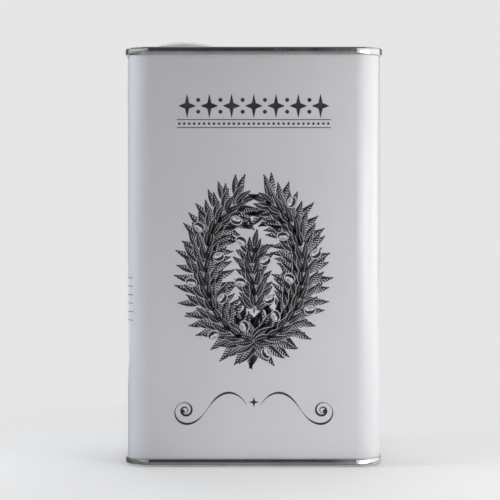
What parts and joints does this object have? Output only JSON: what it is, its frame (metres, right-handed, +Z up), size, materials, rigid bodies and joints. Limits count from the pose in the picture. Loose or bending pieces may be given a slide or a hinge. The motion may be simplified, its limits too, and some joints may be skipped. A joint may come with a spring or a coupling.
{
  "type": "olive oil tin with pull-up spout",
  "caption": "Rectangular white tinplate oil tin with double-seamed ends and an off-centre pull-up pouring spout closed by a screw cap with lifting ears.",
  "frame": {"origin": "middle of the tin's footprint, on the surface that the bottom seam stands on", "axes": "+Z up, +X to the right seen from the front panel, +Y to the back"},
  "size_m": [0.1098, 0.0608, 0.1815],
  "materials": {
    "white_lacquer": "white stoving lacquer, satin",
    "tinplate": "bright electrolytic tinplate",
    "compound": "dried water-based sealing compound",
    "white_plastic": "white moulded polyethylene",
    "natural_plastic": "natural moulded polyethylene",
    "liner_foam": "foamed polyethylene wad",
    "gasket": "soft elastomer"
  },
  "bodies": {
    "tin": {"body_wall": "white_lacquer", "top_end": "tinplate", "bottom_end": "tinplate", "top_seam_compound": "compound", "bottom_seam_compound": "compound", "spout_collar": "white_plastic", "collar_gasket": "gasket"},
    "spout": {"pull_spout": "natural_plastic"},
    "liner": {"cap_liner": "liner_foam"},
    "cap": {"screw_cap": "white_plastic"},
    "front_ear": {"front_pull_ear": "white_plastic"},
    "back_ear": {"back_pull_ear": "white_plastic"}
  },
  "joints": [
    {"name": "spout_pull", "type": "slide", "parent": "tin", "child": "spout", "axis": [0, 0, 1], "range_m": [0, 0.0138]},
    {"name": "cap_lift", "type": "slide", "parent": "spout", "child": "liner", "axis": [0, 0, 1], "range_m": [0, 0.00625]},
    {"name": "cap_turn", "type": "hinge", "parent": "liner", "child": "cap", "pos_m": [-0.0303, 0, 0.1767], "axis": [0, 0, 1], "range_deg": [0, 900]},
    {"name": "front_ear_lift", "type": "hinge", "parent": "cap", "child": "front_ear", "pos_m": [-0.0303, -0.0011, 0.18074], "axis": [-1, 0, 0], "range_deg": [0, 90]},
    {"name": "back_ear_lift", "type": "hinge", "parent": "cap", "child": "back_ear", "pos_m": [-0.0303, 0.0011, 0.18074], "axis": [1, 0, 0], "range_deg": [0, 90]}
  ],
  "couplings": [
    {"joint": "cap_lift", "follows": "cap_turn", "m_per_rad": 0.00039789}
  ]
}
